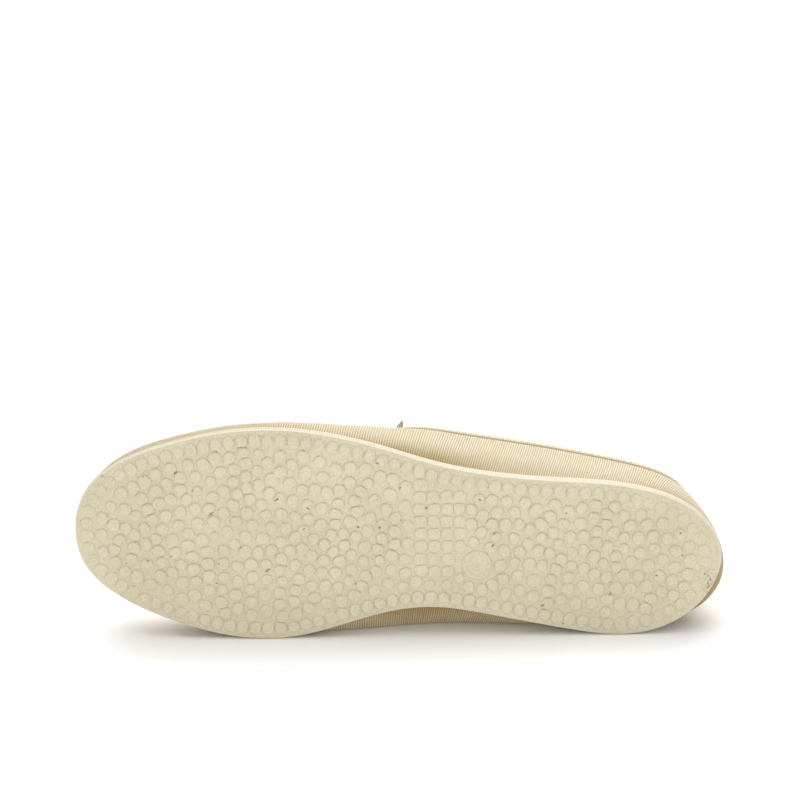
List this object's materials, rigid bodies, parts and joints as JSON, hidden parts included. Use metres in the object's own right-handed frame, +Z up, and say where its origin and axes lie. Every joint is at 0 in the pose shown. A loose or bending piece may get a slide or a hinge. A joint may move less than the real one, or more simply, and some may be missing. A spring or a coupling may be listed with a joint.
{
  "type": "house slipper",
  "caption": "Left canvas slip-on slipper with a bound collar, a short tongue and a pale flat rubber outsole, lying on its medial side with the tread facing forward.",
  "frame": {"origin": "middle of the bounding box on the floor, with the shoe lying on its medial side", "axes": "-X from heel to toe, +Y from the tread towards the collar, +Z up through the lateral side"},
  "size_m": [0.2538, 0.0824, 0.0845],
  "materials": {
    "outsole": "matt natural rubber",
    "insole": "plain cotton",
    "upper": "cotton twill canvas",
    "collar_binding": "folded cotton tape",
    "tongue": "cotton canvas"
  },
  "bodies": {
    "root": {"outsole": "outsole", "insole": "insole", "upper": "upper", "collar_binding": "collar_binding", "tongue": "tongue"}
  },
  "joints": []
}
